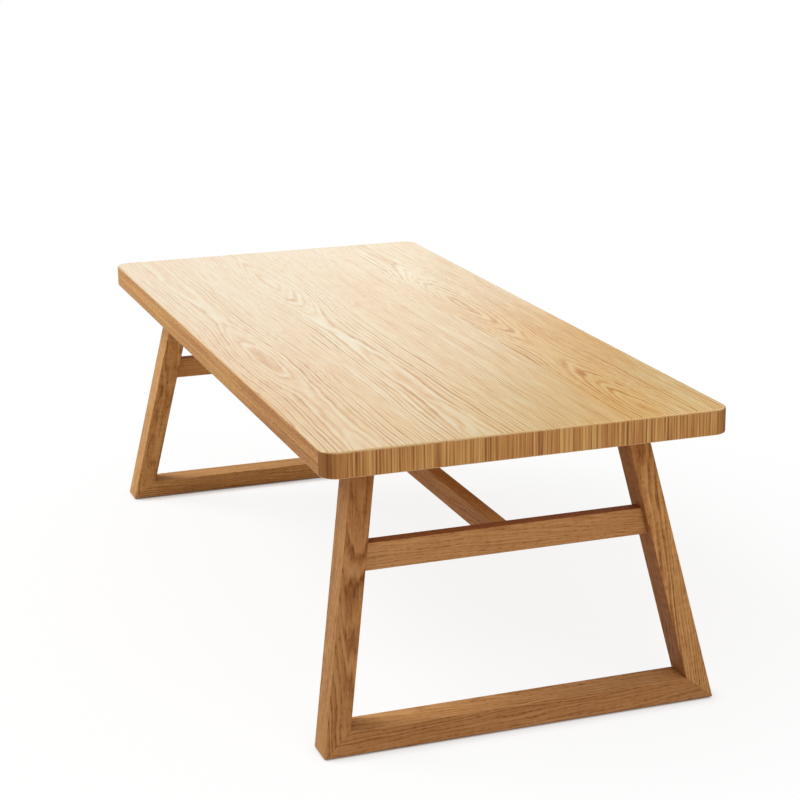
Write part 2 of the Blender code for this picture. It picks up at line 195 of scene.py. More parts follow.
# %% [markdown]
# The floor is one large disc. To the camera and to reflections it is mostly plain white, with a share of
# its true shading left in, so that the table keeps a faint shadow, and more of it close under the rails,
# where Ambient Occlusion finds the floor covered. The light that it throws back up under the table is
# that of a pale, warm grey floor. From below it is clear, so that the underside can be looked at.

# %% Floor
FLOOR_RADIUS = 60.0
FLOOR_DROP = 0.4 * MM
FLOOR_SIDES = 96
SHADOW_REACH = 1.9
SHADOW_SHARE = 0.16
CONTACT_REACH = 40 * MM

turn = np.linspace(0, math.tau, FLOOR_SIDES, endpoint=False)
rim = FLOOR_RADIUS * np.stack([np.cos(turn), np.sin(turn), 0 * turn], axis=1)
rim[:, 2] = -FLOOR_DROP
floor_mesh = bpy.data.meshes.new("floor")
floor_mesh.from_pydata(rim.tolist(), [], [list(range(FLOOR_SIDES))])
floor = bpy.data.objects.new("floor", floor_mesh)
scene.collection.objects.link(floor)

floor_paint, tree = blank("white_studio_floor")
spot = add(tree, "ShaderNodeTexCoord").outputs["Object"]
reach = add(tree, "ShaderNodeVectorMath", {0: spot}, operation="LENGTH").outputs["Value"]
fade = add(tree, "ShaderNodeMapRange", {"Value": reach, "From Min": 0.8, "From Max": SHADOW_REACH,
                                         "To Min": 1.0 - SHADOW_SHARE, "To Max": 1.0})
ray = add(tree, "ShaderNodeLightPath").outputs
mirror = add(tree, "ShaderNodeMath", {
    0: ray["Is Glossy Ray"], 1: ray["Is Transmission Ray"]}, operation="MAXIMUM")
seen = add(tree, "ShaderNodeMath", {0: mirror, 1: ray["Is Camera Ray"]}, operation="MAXIMUM")
open_share = add(tree, "ShaderNodeAmbientOcclusion", {"Distance": CONTACT_REACH}).outputs["AO"]
clear = add(tree, "ShaderNodeMath", {0: fade, 1: open_share}, operation="MULTIPLY")
share = add(tree, "ShaderNodeMath", {0: seen, 1: clear}, operation="MULTIPLY")
hue = add(tree, "ShaderNodeMix", {"Factor": seen, 6: colour("D6C6B2"), 7: colour("FFFFFF")}, data_type="RGBA")
paint = add(tree, "ShaderNodeBsdfDiffuse", {"Color": hue.outputs[2]})
glow = add(tree, "ShaderNodeEmission", {"Color": colour("FFFFFF"), "Strength": 1.0})
mixed = add(tree, "ShaderNodeMixShader", {0: share, 1: paint, 2: glow})
from_below = add(tree, "ShaderNodeNewGeometry").outputs["Backfacing"]
nothing = add(tree, "ShaderNodeBsdfTransparent")
one_sided = add(tree, "ShaderNodeMixShader", {0: from_below, 1: mixed, 2: nothing})
add(tree, "ShaderNodeOutputMaterial", {"Surface": one_sided})
floor_mesh.materials.append(floor_paint)
print("floor disc of radius", FLOOR_RADIUS, "m")

# %% [markdown]
# ## A skin over rings
#
# Every new piece here is a set of rings of equal length, carried from one end of the piece to the other.
# Quads join each ring to the next and a cap closes each end. The rings are whole numpy arrays, so the
# mesh is filled in one step. If the signed volume comes out negative, the faces are turned round.

# %% Mesh helper
SHARP_ANGLE = math.radians(40)
pieces = {}


def skin(name, rings, ladder=False):
    """Joins rings (ring, point, xyz) by quads: point j of ring i with j + 1, and with both on ring i + 1.

    The caps are single faces, or with ladder a row of quads between the two halves of the end ring.
    """
    count, size = rings.shape[:2]
    index = np.arange(count * size).reshape(count, size)
    after = np.roll(index, -1, axis=1)
    walls = np.stack([index[:-1], after[:-1], after[1:], index[1:]], axis=-1).reshape(-1, 4)
    faces = walls.tolist()
    for ring in (index[0][::-1], index[-1]):
        if ladder:
            near, far = ring[:size // 2], ring[size // 2:][::-1]
            faces += np.stack([near[:-1], near[1:], far[1:], far[:-1]], axis=-1).tolist()
        else:
            faces.append(ring.tolist())
    points = rings.reshape(-1, 3)
    corners = points[walls]
    spread = np.cross(corners[:, 2] - corners[:, 0], corners[:, 3] - corners[:, 1])
    if np.einsum("ij,ij->", corners.mean(axis=1) - points.mean(axis=0), spread) < 0:
        faces = [face[::-1] for face in faces]
    mesh = bpy.data.meshes.new(name)
    mesh.from_pydata(points.tolist(), [], faces)
    mesh.shade_smooth()
    mesh.set_sharp_from_angle(angle=SHARP_ANGLE)
    piece = bpy.data.objects.new(name, mesh)
    scene.collection.objects.link(piece)
    pieces[name] = piece
    return piece


def store(piece, name, values):
    """Keeps one number or one vector per point on the piece, for its finish to read."""
    kind = "FLOAT" if values.ndim == 1 else "FLOAT_VECTOR"
    kept = piece.data.attributes.new(name, kind, "POINT")
    kept.data.foreach_set("value" if values.ndim == 1 else "vector", values.astype(np.float32).ravel())


# %% [markdown]
# ## Boards of the top
#
# The top is seven full-thickness boards glued edge to edge, planed flat, then cut and rounded as one
# slab. Each board is a stack of rings: outlines that step in by a quarter circle at the lower and upper
# arris. Only the slab's own edges step in. A glued seam stays square, so it closes without a gap.

# %% Board shapes
CORNER_RADIUS = 42 * MM
TOP_ROUND = 5 * MM
UNDERSIDE_ROUND = 3 * MM
GLUE_LINE = 0.02 * MM
SUPPORT = 0.8 * MM
ROUND_STEPS = 7
CORNER_STEPS = 16
LENGTH_STEPS = 44
BOARDS = [f"top_board_{i}" for i in range(1, 8)]

slab_low = Vector(np.min([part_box(board)[0] for board in BOARDS], axis=0))
slab_high = Vector(np.max([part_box(board)[1] for board in BOARDS], axis=0))


def arris_steps():
    """Inset, height and outward lean of each ring: a quarter circle below, a wall, a quarter circle above.

    Over a quarter turn t the inset is radius (1 - cos t) and the rise radius (1 - sin t) from the face.
    """
    t = np.linspace(0, math.pi / 2, ROUND_STEPS)
    low, high = slab_low.z, slab_high.z
    inset = np.concatenate([
        [UNDERSIDE_ROUND + SUPPORT], UNDERSIDE_ROUND * (1 - np.cos(t[::-1])), [0, 0],
        TOP_ROUND * (1 - np.cos(t)), [TOP_ROUND + SUPPORT]])
    height = np.concatenate([
        [low], low + UNDERSIDE_ROUND * (1 - np.sin(t[::-1])),
        [low + UNDERSIDE_ROUND + SUPPORT, high - TOP_ROUND - SUPPORT],
        high - TOP_ROUND * (1 - np.sin(t)), [high]])
    lean = np.concatenate([[0], np.cos(t[::-1]), [1, 1], np.cos(t), [0]])
    return inset, height, lean


def board_outline(left, right, inset):
    """The two long edges of a board for one inset, as (station, xy) from end b to end a.

    Where an edge is the slab's own it moves in by the inset and ends in two quarter circles of the
    corner radius less the inset. The other edge has its stations at the same places along the board.
    """
    half = slab_high.x
    straight = np.linspace(-half + CORNER_RADIUS, half - CORNER_RADIUS, LENGTH_STEPS)
    straight = np.sort(np.append(straight, [straight[0] + MM, straight[-1] - MM]))
    angle = np.linspace(0, math.pi / 2, CORNER_STEPS, endpoint=False)
    bend = CORNER_RADIUS - inset
    run_in = half - CORNER_RADIUS + bend * np.cos(angle)
    along = np.concatenate([-run_in, straight, run_in[::-1]])
    drop = bend * np.sin(angle)
    sag = np.concatenate([CORNER_RADIUS - drop, np.full(len(straight), inset), (CORNER_RADIUS - drop)[::-1]])
    edges = []
    for place, sign in ((left, 1), (right, -1)):
        own = abs(abs(place) - slab_high.y) < MM
        across = place + sign * sag if own else np.full(len(along), place + sign * GLUE_LINE / 2)
        edges.append(np.stack([along, across], axis=1))
    return edges


def add_board(name):
    """A board: its outline at every arris step, with the right edge running back to close each ring."""
    low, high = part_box(name)
    seam = 0.5 * MM
    left = low.y if low.y < slab_low.y + seam else round(low.y, 3)
    right = high.y if high.y > slab_high.y - seam else round(high.y, 3)
    inset, height, lean = arris_steps()
    rings = []
    for step, rise in zip(inset, height):
        near, far = board_outline(left, right, step)
        ring = np.concatenate([near, far[::-1]])
        rings.append(np.column_stack([ring, np.full(len(ring), rise)]))
    return skin(name, np.array(rings), ladder=True), lean


board_leans = {}
for board in BOARDS:
    made, board_leans[board] = add_board(board)
    print(board, len(made.data.polygons), "faces", [round(value, 4) for value in made.dimensions])

# %% [markdown]
# ## Growth rings of the boards
#
# The figure on a board is the pattern of the tree's growth rings, cut by the saw. A ring is a surface at
# one distance from the pith, the centre line of the log. So each point of a board keeps its place in its
# log: along it, across it from the pith, and down to the pith. Where the pith swings nearer to the face,
# the rings come out as ovals and arches. Boards sawn side by side share a log, and their lines run on.

# %% Log coordinates of the boards
END_LEAN = 0.015
SIDE_EDGE = 0.95
ARRIS_LEAN = 0.6
SIDE_FIGURE = -0.6
# The sides are golden, their own colour; less gold towards end b is painted sheen that pales their far part
SIDE_GOLDS_AND_PAINTED_SHEEN = (0.22, 0.45)
# A side is painted darker towards end a: painted shade that stands in for the sheen lightening its end b part
SIDE_PAINTED_SHADES = (0.0, 0.3)
LEFT_SHADE = 0.22
# Lines fainter towards end b and a little stronger at end a: a painted veil of sheen over the far end
END_PAINTED_SHEEN_FIGURES = (-0.45, 0.15)
# Tone added towards end b of the top: painted shade
END_PAINTED_SHADES = (0.2, 0.0)
GOLD_SPOTS = (
    {"x": 0.95, "y": 0.20, "along": 0.45, "across": 0.11, "depth": 0.65},
    {"x": 0.16, "y": 0.45, "along": 0.40, "across": 0.12, "depth": 0.60},
)
LOGS = {
    "left": {"boards": BOARDS[0:2], "pith": -0.392, "depth": 0.060, "swing": 0.009, "crest": 0.22,
             "wave": 0.9, "reach": (-0.5, 0.5), "start": 3.1, "figure": 0.2},
    "middle": {"boards": BOARDS[2:5], "pith": -0.120, "depth": 0.055, "swing": 0.010, "crest": -0.64,
               "wave": 1.1, "reach": (-0.5, 0.5), "start": 7.7, "figure": 0.2},
    "right": {"boards": BOARDS[5:6], "pith": 0.312, "depth": 0.050, "swing": 0.020, "crest": -0.17,
              "wave": 1.2, "reach": (-0.5, 2.0), "start": 12.4, "figure": 0.35},
    "edge": {"boards": BOARDS[6:7], "pith": 0.66, "depth": 0.090, "swing": 0.012, "crest": 0.2,
             "wave": 1.7, "reach": (-2.0, 2.0), "start": 17.9, "figure": 0.4},
}
TONE_PLACES = (-0.5, -0.1, 0.15, 0.35, 0.5)
TONES = (0.8, 0.5, 0.3, 0.0, 0.0)


def points_of(piece, what="co"):
    """The piece's points as an array, or their normals."""
    flat = np.empty(len(piece.data.vertices) * 3, np.float32)
    piece.data.vertices.foreach_get(what, flat)
    return flat.reshape(-1, 3).astype(float)


def mark_board(name, log, lean):
    """Stores a board's log coordinates, its tone and how much of a sawn edge each point shows.

    Below the face the pith lies at depth - swing cos(turns from the crest), level again beyond the reach.
    On the sides it lies level, and on the ends the lines run almost straight down and evenly spaced, so
    the depth fades out there and only a share of the height counts. The edge tone is full on the ends and
    less along the sides, which are plainer and golden. Along the sides, painted shade towards end a and
    less gold towards end b stand in for the sheen that lightens their far part. The rounded corners, cut
    across the fibres, are marked as darkest. Towards end b the tone is darker, as painted shade, and the
    lines are fainter, as a painted veil of sheen. A golden spot has its depth in the middle and fades as
    exp of minus the squared distance, measured in its reach along and across.
    """
    piece = pieces[name]
    x, y, z = points_of(piece).T
    corner = slab_high.x - CORNER_RADIUS
    at_end = np.clip(8 * (np.abs(x) - corner) / CORNER_RADIUS, 0, 1)
    lean = np.repeat(lean, len(x) // len(lean))
    facing = (SIDE_EDGE + (1 - SIDE_EDGE) * at_end) * np.clip((lean - ARRIS_LEAN) / (1 - ARRIS_LEAN), 0, 1)
    below = slab_high.z - z
    sunk = np.where(below > TOP_ROUND, TOP_ROUND + END_LEAN * (below - TOP_ROUND), below)
    below = below + at_end * (sunk - below)
    turns = np.clip((x - log["crest"]) / log["wave"], *log["reach"])
    depth = log["depth"] - log["swing"] * np.cos(math.tau * turns) * (1 - lean)
    depth = depth * (1 - at_end * lean)
    turned = np.clip((np.abs(y) - slab_high.y + CORNER_RADIUS) / CORNER_RADIUS, 0, 1) * at_end
    store(piece, "grain", np.stack([x + log["start"], y - log["pith"], depth + below], axis=1))
    store(piece, "edge", facing)
    ends = (-corner, 0.5 * corner)
    at_side = lean * (1 - at_end)
    to_left = LEFT_SHADE * np.interp(y, (slab_low.y, 0.4 * slab_low.y), (1, 0)) * at_end
    shade = np.maximum(np.sqrt(turned), to_left) * lean
    # Darkest at the rounded corners; along the sides, painted shade that grows towards end a
    store(piece, "corner", shade + np.interp(x, (-corner, corner), SIDE_PAINTED_SHADES) * at_side)
    # Tone by board, and painted shade towards end b
    store(piece, "tone", np.interp(y, TONE_PLACES, TONES) + np.interp(x, ends, END_PAINTED_SHADES))
    # Lines fainter towards end b, a painted veil of sheen
    shown = log["figure"] + np.interp(x, ends, END_PAINTED_SHEEN_FIGURES)
    store(piece, "figure", shown * (1 - lean) + SIDE_FIGURE * at_side)
    gold = sum(spot["depth"] * np.exp(-((x - spot["x"]) / spot["along"]) ** 2
                                      - ((y - spot["y"]) / spot["across"]) ** 2) for spot in GOLD_SPOTS)
    # Gold spots on the face; on the sides gold that fades towards end b as painted sheen
    store(piece, "gold", gold * (1 - lean) + np.interp(x, (-corner, corner), SIDE_GOLDS_AND_PAINTED_SHEEN) * at_side)
    return depth.min(), depth.max()


for log_name, log in LOGS.items():
    for board in log["boards"]:
        span = mark_board(board, log, board_leans[board])
        print(board, "from log", log_name, "pith depth", [round(value, 3) for value in span])

# %% [markdown]
# ## Bars of the frames
#
# Legs, rails, crossbars and the stretcher are planed bars with four flat sides, ends cut at an angle
# and eased arrises. Each bar's planes are read from its solid: the four largest that run along it and the
# largest at each end. A rounded section is then carried between the two end planes.

# %% Bar shapes
BAR_ROUND = 2.2 * MM
END_CHAMFER = 0.35 * MM
ARC_STEPS = 5
BARS = [f"leg_{end}_{side}" for end in "ab" for side in ("left", "right")]
BARS += [f"{kind}_{end}" for kind in ("floor_rail", "crossbar") for end in "ab"] + ["stretcher"]


def flat_faces(node):
    """The planes of a solid, as unit normals, distances from the origin and areas, largest first."""
    mesh = frame["nodes"][node].data
    mesh.calc_loop_triangles()
    corners = np.array([[mesh.vertices[i].co for i in tri.vertices] for tri in mesh.loop_triangles])
    spread = np.cross(corners[:, 1] - corners[:, 0], corners[:, 2] - corners[:, 0])
    area = np.linalg.norm(spread, axis=1)
    spread, corners = spread[area > 1e-12], corners[area > 1e-12]
    area = area[area > 1e-12]
    normal = spread / area[:, None]
    distance = np.einsum("ij,ij->i", normal, corners[:, 0])
    key = np.round(np.column_stack([normal * 100, distance * 1000]))
    group = np.unique(key, axis=0, return_inverse=True)[1].ravel()
    total = np.bincount(group, area)
    mean = np.stack([np.bincount(group, area * normal[:, i]) for i in range(3)], axis=1)
    mean /= np.linalg.norm(mean, axis=1)[:, None]
    away = np.bincount(group, area * distance) / total
    order = np.argsort(-total)
    return mean[order], away[order], total[order]


def bar_planes(node):
    """A bar's direction, its four sides in turn and its two ends, each as a normal and a distance."""
    normal, away, area = flat_faces(node)
    other = np.argmax(np.abs(normal @ normal[0]) < 0.5)
    axis = np.cross(normal[0], normal[other])
    axis /= np.linalg.norm(axis)
    axis *= np.sign(axis[np.argmax(np.abs(axis))])
    along = normal @ axis
    sides = np.flatnonzero(np.abs(along) < 0.02)[:4]
    angle = np.arctan2(normal[sides] @ np.cross(axis, normal[0]), normal[sides] @ normal[0])
    sides = sides[np.argsort(angle)]
    ends = [np.flatnonzero(along * sign > 0.3)[0] for sign in (-1, 1)]
    return axis, [(normal[i], away[i]) for i in sides], [(normal[i], away[i]) for i in ends]


def section(axis, sides, inset):
    """The rounded section of a bar: at each corner an arc turns from one side's normal to the next.

    The arc's radius is BAR_ROUND and its centre lies that far inside both sides. A point just before and
    just after it holds the flats flat.
    """
    points = []
    share = np.linspace(0, 1, ARC_STEPS)[:, None]
    for (first, near), (second, far) in zip(sides, sides[1:] + sides[:1]):
        depth = inset + BAR_ROUND
        centre = np.linalg.solve(np.array([first, second, axis]), [near - depth, far - depth, 0])
        angle = math.acos(first @ second)
        arc = (np.sin((1 - share) * angle) * first + np.sin(share * angle) * second) / math.sin(angle)
        arc = centre + BAR_ROUND * arc
        before = arc[:1] - SUPPORT * np.cross(axis, first)
        after = arc[-1:] + SUPPORT * np.cross(axis, second)
        points += [before, arc, after]
    return np.concatenate(points)


def add_bar(node):
    """A bar: its section slid along its direction to each end plane, with a fine chamfer at the cut ends."""
    axis, sides, ends = bar_planes(node)
    rings = []
    for end, steps in zip(ends, ((END_CHAMFER, 0), (0, END_CHAMFER))):
        for inset in steps:
            ring = section(axis, sides, inset)
            slide = (end[1] - (END_CHAMFER - inset) - ring @ end[0]) / (axis @ end[0])
            rings.append(ring + slide[:, None] * axis)
    return skin(node, np.array(rings)), axis


bar_axes = {}
for bar in BARS:
    made, bar_axes[bar] = add_bar(bar)
    print(bar, "runs along", bar_axes[bar].round(3), "size", [round(value, 4) for value in made.dimensions])

# %% [markdown]
# ## Growth rings of the bars
#
# A bar is sawn from a thicker plank, so its pith lies outside it. The offset says to which side and how
# far, and the tilt how much the bar strays from the log's direction. A pith square behind a face gives
# that face arches. One off a corner gives straight lines.

# %% Log coordinates of the bars
CUTS = {
    "leg_a_left": {"pith": (-0.060, 0.021, 0.0), "tilt": (0.030, -0.090, 0.0), "tone": 0.43, "figure": 0.6},
    "leg_a_right": {"pith": (-0.050, -0.055, 0.0), "tilt": (0.0, 0.140, 0.0), "tone": 0.14, "figure": 0.5},
    "leg_b_left": {"pith": (-0.075, 0.010, 0.0), "tilt": (0.040, 0.020, 0.0), "tone": 0.0, "figure": 0.3},
    "leg_b_right": {"pith": (0.060, 0.045, 0.0), "tilt": (0.030, 0.030, 0.0), "tone": 0.20, "figure": 0.3},
    "floor_rail_a": {"pith": (-0.045, 0.0, -0.085), "tilt": (0.01, 0.0, 0.022), "tone": 0.46, "figure": -0.1},
    "floor_rail_b": {"pith": (-0.080, 0.0, -0.050), "tilt": (-0.015, 0.0, 0.018), "tone": 0.0, "figure": 0.0},
    "crossbar_a": {"pith": (-0.070, 0.0, 0.030), "tilt": (0.025, 0.0, 0.012), "tone": 0.36, "figure": -0.5},
    "crossbar_b": {"pith": (-0.060, 0.0, -0.040), "tilt": (0.020, 0.0, -0.010), "tone": 0.1, "figure": -0.5},
    "stretcher": {"pith": (0.0, 0.060, 0.045), "tilt": (0.0, 0.006, 0.010), "tone": 0.45, "figure": 0.0},
}
CURL = {"leg_a_right": 0.22, "leg_a_left": 0.1, "leg_b_left": 0.2, "leg_b_right": 0.3}
# Painted light and shade on one face of a bar: the upper faces of the crossbars are painted darker for the
# shade of the top, and the inner face of leg a right darker for its shade. The upper face of floor rail a and
# the left face of leg a left are painted lighter for the light that falls on them.
PAINTED_FACE_LIGHT_AND_SHADE = {
    "leg_a_left": {"facing": (0, -1, 0), "step": -0.2},
    "leg_a_right": {"facing": (0, -1, 0), "step": 0.35},
    "floor_rail_a": {"facing": (0, 0, 1), "step": -0.25},
    "crossbar_a": {"facing": (0, 0, 1), "step": 0.5},
    "crossbar_b": {"facing": (0, 0, 1), "step": 0.4},
}


def mark_bar(name, axis, cut, start):
    """Stores a bar's log coordinates, the way along it and the offset from its tilted pith, and its tone.

    The tone is the bar's own. Where a bar has a step, the face that looks that way is painted lighter
    or darker: painted shade under the top and on an inner face, painted light where light falls on a face.
    """
    piece = pieces[name]
    place = points_of(piece)
    painted_face = PAINTED_FACE_LIGHT_AND_SHADE.get(name, {"facing": (0, 0, 1), "step": 0.0})
    turned = np.clip(points_of(piece, "normal") @ np.array(painted_face["facing"]) / 0.4 - 1.25, 0, 1)
    middle = (place.min(axis=0) + place.max(axis=0)) / 2
    along = (place - middle) @ axis
    away = place - middle - np.array(cut["pith"]) - along[:, None] * np.array(cut["tilt"])
    across = np.cross(axis, [1, 0, 0] if abs(axis[0]) < 0.9 else [0, 0, 1])
    across /= np.linalg.norm(across)
    through = np.cross(axis, across)
    store(piece, "grain", np.stack([along + start, away @ across, away @ through], axis=1))
    # Tone: the bar's own, plus painted light or shade on the one face that the step looks to
    store(piece, "tone", cut["tone"] + painted_face["step"] * turned)
    store(piece, "figure", np.full(len(place), cut["figure"]))
    store(piece, "curl", np.full(len(place), CURL.get(name, 0.1)))


for number, bar in enumerate(BARS):
    mark_bar(bar, bar_axes[bar], CUTS[bar], 30.0 + 3.7 * number)
print("log coordinates stored on", len(BARS), "bars")

# %% [markdown]
# ## Lacquered oak
#
# White oak, planed and sprayed with a clear satin lacquer. Rows of large pores mark the start of each
# year's growth and read as soft brown lines on a pale ground, finer fibres streak between them, and the
# tone drifts from board to board. The lacquer fills most of the pores and gives a soft, broad sheen. Real
# rings are 2 to 4 mm apart; from across a room only some of them show, so the main lines are drawn wider
# and the real spacing is kept as a faint second pattern between them.

# %% Oak finish
# Repeats of each noise per metre: along the log, across it and through it, and how many octaves it has
NOISES = {
    "wander": ((1.1, 4.0, 4.0), 1.0),
    "ripple": ((4.5, 26.0, 26.0), 2.0),
    "jitter": ((16.0, 130.0, 130.0), 2.0),
    "patch": ((3.0, 45.0, 45.0), 2.0),
    "fibre": ((8.0, 320.0, 320.0), 2.0),
    "pore": ((70.0, 260.0, 260.0), 1.0),
    "drift": ((0.9, 4.0, 4.0), 1.0),
    "stripe": ((2.0, 190.0, 190.0), 4.0),
    "curl": ((85.0, 34.0, 34.0), 1.0),
}
FINE_RINGS = 3.0
EDGE_MATT = 0.7
EDGE_STOPS = (0.22, 0.70, 0.36, 0.45, 0.55)


def lacquered_oak(name, look, coordinates=None):
    """Oak by its rings: the distance from the pith, bent by noise, is cut into years with a dark early line.

    The log coordinates are the piece's own, or where it has none its object coordinates, turned and moved.
    """
    made, tree = blank(name)
    if coordinates is None:
        grain = add(tree, "ShaderNodeAttribute", attribute_name="grain").outputs["Vector"]
    else:
        spot = add(tree, "ShaderNodeTexCoord").outputs["Object"]
        grain = add(tree, "ShaderNodeMapping", {"Vector": spot, **coordinates}).outputs["Vector"]
    noise = {}
    for layer, (scale, octaves) in NOISES.items():
        stretched = add(tree, "ShaderNodeVectorMath", {0: grain, 1: scale}, operation="MULTIPLY")
        noise[layer] = add(tree, "ShaderNodeTexNoise", {"Vector": stretched, "Scale": 1.0, "Detail": octaves})

    # Rings: the radius in the log, bent slowly, then quickly, then raggedly
    across = add(tree, "ShaderNodeVectorMath", {0: grain, 1: (0, 1, 1)}, operation="MULTIPLY")
    bent = add(tree, "ShaderNodeVectorMath", {0: across}, operation="LENGTH").outputs["Value"]
    for layer, reach in look["bends_mm"].items():
        bent = add(tree, "ShaderNodeMath", {
            0: noise[layer], 1: reach * MM, 2: bent}, operation="MULTIPLY_ADD")
    phase = add(tree, "ShaderNodeMath", {0: bent, 1: look["ring_mm"] * MM}, operation="DIVIDE")
    year = add(tree, "ShaderNodeMath", {0: phase}, operation="FLOOR")
    season = add(tree, "ShaderNodeMath", {0: phase}, operation="FRACT")
    fine_phase = add(tree, "ShaderNodeMath", {0: phase, 1: FINE_RINGS}, operation="MULTIPLY")
    fine = add(tree, "ShaderNodeMath", {0: fine_phase, 1: 1.0}, operation="PINGPONG")

    # Early wood: dark where a year begins, fading as it goes on; some years and some stretches are stronger
    chance = add(tree, "ShaderNodeTexWhiteNoise", {"W": year}, noise_dimensions="1D")
    line = add(tree, "ShaderNodeValToRGB", {"Fac": season}, stops=(
        (0.0, "BCBCBC"), (1.0, "BCBCBC"), (0.13, "FFFFFF"),
        (0.34, "D8D8D8"), (0.62, "606060"), (0.82, "000000")))
    grade = add(tree, "ShaderNodeMath", {0: chance, 1: 0.75, 2: 0.3}, operation="MULTIPLY_ADD")
    patch = add(tree, "ShaderNodeMapRange", {"Value": noise["patch"], "From Min": 0.3, "From Max": 0.66,
                                              "To Min": 0.4, "To Max": 1.1})
    graded = add(tree, "ShaderNodeMath", {0: line, 1: grade}, operation="MULTIPLY")
    ringed = add(tree, "ShaderNodeMath", {0: graded, 1: patch}, operation="MULTIPLY")
    figure = add(tree, "ShaderNodeAttribute", attribute_name="figure").outputs["Fac"]
    mark = add(tree, "ShaderNodeMath", {0: ringed, 1: figure, 2: ringed}, operation="MULTIPLY_ADD")

    # Pores lie mostly in the early wood; fibres are everywhere; some legs have a curl across the grain
    pit = add(tree, "ShaderNodeMapRange", {"Value": noise["pore"], "From Min": 0.53, "From Max": 0.7})
    crowd = add(tree, "ShaderNodeMath", {0: line, 1: 0.75, 2: 0.25}, operation="MULTIPLY_ADD")
    pore = add(tree, "ShaderNodeMath", {0: pit, 1: crowd}, operation="MULTIPLY")
    depth = add(tree, "ShaderNodeMath", {
        0: mark, 1: look["line"], 2: look["ground"]}, operation="MULTIPLY_ADD")
    for layer, share in ((noise["fibre"], look["fibre"]), (fine, look["fine"]), (pore, look["pore"])):
        depth = add(tree, "ShaderNodeMath", {0: layer, 1: share, 2: depth}, operation="MULTIPLY_ADD")
    wave = add(tree, "ShaderNodeMapRange", {"Value": noise["curl"], "From Min": 0.3, "From Max": 0.7,
                                             "To Min": -0.5, "To Max": 0.5})
    curl = add(tree, "ShaderNodeAttribute", attribute_name="curl").outputs["Fac"]
    depth = add(tree, "ShaderNodeMath", {0: wave, 1: curl, 2: depth}, operation="MULTIPLY_ADD")

    # Colour: the planed face, warmed here and there and darker by the piece, and the darker sawn edges. The
    # tone also carries painted light or shade on one face of some bars and painted shade towards end b of the
    # top
    light, middle, deep, dark = look["tones"]
    face = add(tree, "ShaderNodeValToRGB", {"Fac": depth}, stops=(
        (0.0, light), (1.0, dark), (0.3, middle), (0.62, deep)))
    drift = add(tree, "ShaderNodeMapRange", {"Value": noise["drift"], "From Min": 0.3, "From Max": 0.7,
                                              "To Min": 0.0, "To Max": 0.5})
    gold = add(tree, "ShaderNodeAttribute", attribute_name="gold").outputs["Fac"]
    warmth = add(tree, "ShaderNodeMath", {0: drift, 1: gold}, operation="ADD")
    warmed = add(tree, "ShaderNodeMix", {"Factor": warmth, 6: face, 7: colour(look["warm"])},
                 data_type="RGBA", blend_type="MULTIPLY").outputs[2]
    tone = add(tree, "ShaderNodeAttribute", attribute_name="tone").outputs["Fac"]
    planed_tone = add(tree, "ShaderNodeMix", {"Factor": tone, 6: warmed, 7: colour(look["shade"])},
                      data_type="RGBA", blend_type="MULTIPLY").outputs[2]
    fleck = add(tree, "ShaderNodeMapRange", {"Value": noise["pore"], "From Min": 0.3, "From Max": 0.7,
                                              "To Min": -0.14, "To Max": 0.14})
    stripe = add(tree, "ShaderNodeMath", {0: noise["stripe"], 1: fleck}, operation="ADD")
    band = add(tree, "ShaderNodeMath", {0: mark, 1: -0.18, 2: stripe}, operation="MULTIPLY_ADD")
    sawn = add(tree, "ShaderNodeValToRGB", {"Fac": band}, stops=tuple(zip(EDGE_STOPS, look["edge_tones"])))
    # Darker at the rounded corners, and on the sides by the painted shade towards end a
    corner = add(tree, "ShaderNodeAttribute", attribute_name="corner").outputs["Fac"]
    sawn = add(tree, "ShaderNodeMix", {"Factor": corner, 6: sawn, 7: colour("C8B294")},
               data_type="RGBA", blend_type="MULTIPLY").outputs[2]
    # Gold on the sides, less of it towards end b as painted sheen
    sawn = add(tree, "ShaderNodeMix", {"Factor": gold, 6: sawn, 7: colour(look["warm"])},
               data_type="RGBA", blend_type="MULTIPLY").outputs[2]
    edge = add(tree, "ShaderNodeAttribute", attribute_name="edge").outputs["Fac"]
    shown = add(tree, "ShaderNodeMix", {"Factor": edge, 6: planed_tone, 7: sawn}, data_type="RGBA").outputs[2]

    # Lacquer: a little rougher over the open early wood, which also lies a trace lower
    smooth, rough = look["gloss"]
    planed = add(tree, "ShaderNodeMapRange", {"Value": depth, "To Min": smooth, "To Max": rough})
    worn = add(tree, "ShaderNodeMath", {0: edge, 1: 3.0}, operation="POWER")
    gloss = add(tree, "ShaderNodeMath", {0: worn, 1: EDGE_MATT, 2: planed}, operation="MULTIPLY_ADD")
    relief = add(tree, "ShaderNodeBump", {
        "Strength": 0.08, "Distance": 0.2 * MM, "Height": depth}, invert=True)
    shader = add(tree, "ShaderNodeBsdfPrincipled", {
        "Base Color": shown, "Roughness": gloss, "IOR": look["ior"], "Normal": relief})
    add(tree, "ShaderNodeOutputMaterial", {"Surface": shader})
    print(name, "has", len(tree.nodes), "nodes")
    return made


